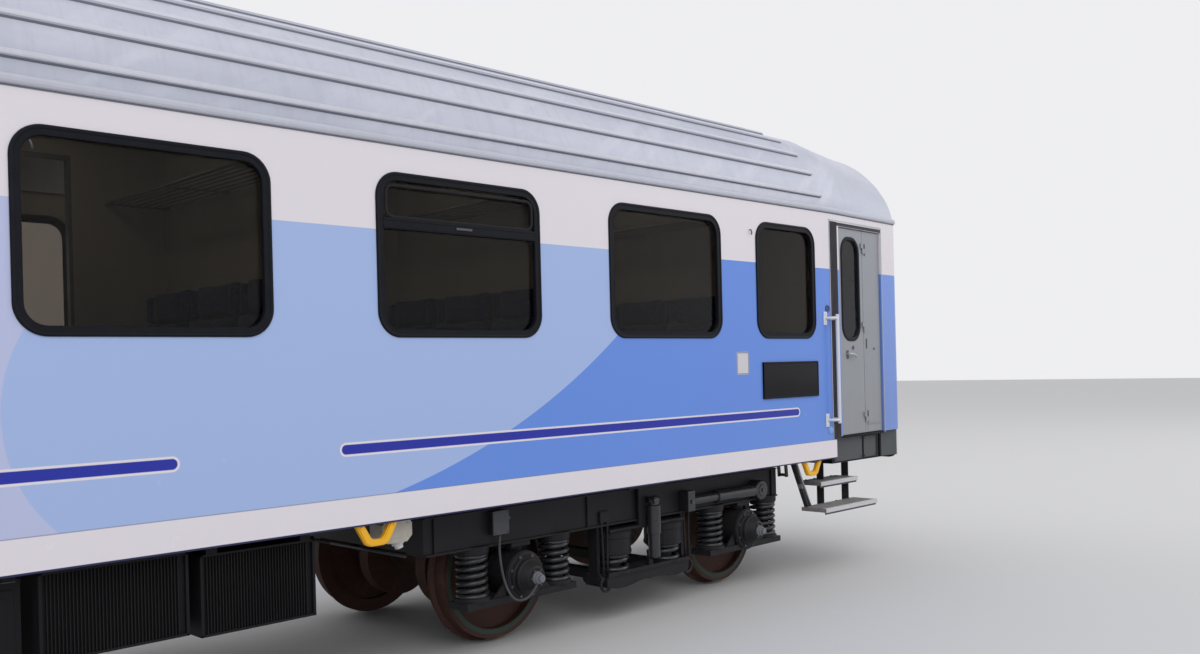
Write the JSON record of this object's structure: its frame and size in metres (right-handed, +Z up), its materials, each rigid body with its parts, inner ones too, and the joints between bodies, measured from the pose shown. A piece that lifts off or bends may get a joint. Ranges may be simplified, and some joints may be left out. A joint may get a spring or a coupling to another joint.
{
  "type": "passenger coach",
  "caption": "Four-axle railway passenger coach with ribbed roof, framed windows, folding end doors, steps and sprung bogies.",
  "frame": {"origin": "centre of the coach in plan, at the lowest point of the wheel flanges", "axes": "+X along the coach towards the end seen at the right of the picture, +Y to the far side, +Z up"},
  "size_m": [24.5, 2.982, 4.0768],
  "materials": {
    "side_paint": "gloss",
    "roof_paint": "satin",
    "frame_rubber": "satin",
    "tinted_glass": "gloss",
    "lining": "satin",
    "floor_cover": "matte",
    "seat_cloth": "woven",
    "rack_metal": "satin",
    "dark_steel": "satin",
    "beige_plastic": "satin",
    "white_rail": "gloss",
    "yellow_paint": "gloss",
    "display_black": "gloss",
    "step_metal": "satin",
    "draw_steel": "rough",
    "gangway_rubber": "matte",
    "lamp_red": "gloss",
    "door_grey": "satin",
    "door_glass": "gloss",
    "wheel_steel": "worn",
    "brake_iron": "rough",
    "spring_steel": "satin",
    "bogie_paint": "satin"
  },
  "bodies": {
    "coach_body": {"air_reservoirs": "dark_steel", "buffers": "dark_steel", "ceiling": "lining", "display_panels": "display_black", "door_rails": "door_grey", "draw_gear": "draw_steel", "end_walls": "side_paint", "floor": "floor_cover", "footplates": "step_metal", "gangways": "gangway_rubber", "handrails": "white_rail", "lifting_brackets": "yellow_paint", "luggage_racks": "rack_metal", "partitions": "lining", "roof": "roof_paint", "seats": "seat_cloth", "side_walls": "side_paint", "socket_boxes": "beige_plastic", "step_boxes": "dark_steel", "steps": "step_metal", "tail_lamps": "lamp_red", "underfloor_boxes": "dark_steel", "underframe": "dark_steel", "window_frames": "frame_rubber", "window_glass": "tinted_glass"},
    "bogie_front": {"bogie_front_axle_boxes": "bogie_paint", "bogie_front_bolster": "bogie_paint", "bogie_front_brake_gear": "brake_iron", "bogie_front_dampers": "bogie_paint", "bogie_front_frame": "bogie_paint", "bogie_front_springs": "spring_steel"},
    "wheelset_front_inner": {"wheelset_front_inner": "wheel_steel"},
    "wheelset_front_outer": {"wheelset_front_outer": "wheel_steel"},
    "door_front_near_post": {"door_front_near_post_leaf": "door_grey"},
    "door_front_near_window": {"door_front_near_window_leaf": "door_grey", "door_front_near_glass": "door_glass"},
    "gangway_leaf_front_near": {"gangway_door_front_near": "door_grey"},
    "door_front_far_post": {"door_front_far_post_leaf": "door_grey"},
    "door_front_far_window": {"door_front_far_window_leaf": "door_grey", "door_front_far_glass": "door_glass"},
    "gangway_leaf_front_far": {"gangway_door_front_far": "door_grey"},
    "bogie_rear": {"bogie_rear_axle_boxes": "bogie_paint", "bogie_rear_bolster": "bogie_paint", "bogie_rear_brake_gear": "brake_iron", "bogie_rear_dampers": "bogie_paint", "bogie_rear_frame": "bogie_paint", "bogie_rear_springs": "spring_steel"},
    "wheelset_rear_inner": {"wheelset_rear_inner": "wheel_steel"},
    "wheelset_rear_outer": {"wheelset_rear_outer": "wheel_steel"},
    "door_rear_near_post": {"door_rear_near_post_leaf": "door_grey"},
    "door_rear_near_window": {"door_rear_near_window_leaf": "door_grey", "door_rear_near_glass": "door_glass"},
    "gangway_leaf_rear_near": {"gangway_door_rear_near": "door_grey"},
    "door_rear_far_post": {"door_rear_far_post_leaf": "door_grey"},
    "door_rear_far_window": {"door_rear_far_window_leaf": "door_grey", "door_rear_far_glass": "door_glass"},
    "gangway_leaf_rear_far": {"gangway_door_rear_far": "door_grey"}
  },
  "joints": [
    {"name": "bogie_front_yaw", "type": "hinge", "parent": "coach_body", "child": "bogie_front", "pos_m": [8.6, 0, 0.928], "axis": [0, 0, 1], "range_deg": [-4, 4]},
    {"name": "wheelset_front_inner_spin", "type": "hinge", "parent": "bogie_front", "child": "wheelset_front_inner", "pos_m": [7.35, 0, 0.488], "axis": [0, 1, 0], "continuous": true},
    {"name": "wheelset_front_outer_spin", "type": "hinge", "parent": "bogie_front", "child": "wheelset_front_outer", "pos_m": [9.85, 0, 0.488], "axis": [0, 1, 0], "continuous": true},
    {"name": "door_front_near_post_hinge", "type": "hinge", "parent": "coach_body", "child": "door_front_near_post", "pos_m": [11.69246, -1.28998, 1.215], "axis": [0, 0, 1], "range_deg": [-85, 0]},
    {"name": "door_front_near_fold_hinge", "type": "hinge", "parent": "door_front_near_post", "child": "door_front_near_window", "pos_m": [11.3614, -1.36782, 1.215], "axis": [0, 0, 1], "range_deg": [0, 170]},
    {"name": "door_front_far_post_hinge", "type": "hinge", "parent": "coach_body", "child": "door_front_far_post", "pos_m": [11.69246, 1.28998, 1.215], "axis": [0, 0, 1], "range_deg": [0, 85]},
    {"name": "door_front_far_fold_hinge", "type": "hinge", "parent": "door_front_far_post", "child": "door_front_far_window", "pos_m": [11.3614, 1.36782, 1.215], "axis": [0, 0, 1], "range_deg": [-170, 0]},
    {"name": "gangway_front_near_slide", "type": "slide", "parent": "coach_body", "child": "gangway_leaf_front_near", "axis": [0, -1, 0], "range_m": [0, 0.4]},
    {"name": "gangway_front_far_slide", "type": "slide", "parent": "coach_body", "child": "gangway_leaf_front_far", "axis": [0, 1, 0], "range_m": [0, 0.4]},
    {"name": "bogie_rear_yaw", "type": "hinge", "parent": "coach_body", "child": "bogie_rear", "pos_m": [-8.6, 0, 0.928], "axis": [0, 0, 1], "range_deg": [-4, 4]},
    {"name": "wheelset_rear_inner_spin", "type": "hinge", "parent": "bogie_rear", "child": "wheelset_rear_inner", "pos_m": [-7.35, 0, 0.488], "axis": [0, 1, 0], "continuous": true},
    {"name": "wheelset_rear_outer_spin", "type": "hinge", "parent": "bogie_rear", "child": "wheelset_rear_outer", "pos_m": [-9.85, 0, 0.488], "axis": [0, 1, 0], "continuous": true},
    {"name": "door_rear_near_post_hinge", "type": "hinge", "parent": "coach_body", "child": "door_rear_near_post", "pos_m": [-11.69246, -1.28998, 1.215], "axis": [0, 0, 1], "range_deg": [0, 85]},
    {"name": "door_rear_near_fold_hinge", "type": "hinge", "parent": "door_rear_near_post", "child": "door_rear_near_window", "pos_m": [-11.3614, -1.36782, 1.215], "axis": [0, 0, 1], "range_deg": [-170, 0]},
    {"name": "door_rear_far_post_hinge", "type": "hinge", "parent": "coach_body", "child": "door_rear_far_post", "pos_m": [-11.69246, 1.28998, 1.215], "axis": [0, 0, 1], "range_deg": [-85, 0]},
    {"name": "door_rear_far_fold_hinge", "type": "hinge", "parent": "door_rear_far_post", "child": "door_rear_far_window", "pos_m": [-11.3614, 1.36782, 1.215], "axis": [0, 0, 1], "range_deg": [0, 170]},
    {"name": "gangway_rear_near_slide", "type": "slide", "parent": "coach_body", "child": "gangway_leaf_rear_near", "axis": [0, -1, 0], "range_m": [0, 0.4]},
    {"name": "gangway_rear_far_slide", "type": "slide", "parent": "coach_body", "child": "gangway_leaf_rear_far", "axis": [0, 1, 0], "range_m": [0, 0.4]}
  ],
  "couplings": [
    {"joint": "door_front_near_fold_hinge", "follows": "door_front_near_post_hinge", "ratio": -2},
    {"joint": "door_front_far_fold_hinge", "follows": "door_front_far_post_hinge", "ratio": -2},
    {"joint": "gangway_front_far_slide", "follows": "gangway_front_near_slide", "ratio": 1},
    {"joint": "door_rear_near_fold_hinge", "follows": "door_rear_near_post_hinge", "ratio": -2},
    {"joint": "door_rear_far_fold_hinge", "follows": "door_rear_far_post_hinge", "ratio": -2},
    {"joint": "gangway_rear_far_slide", "follows": "gangway_rear_near_slide", "ratio": 1}
  ]
}
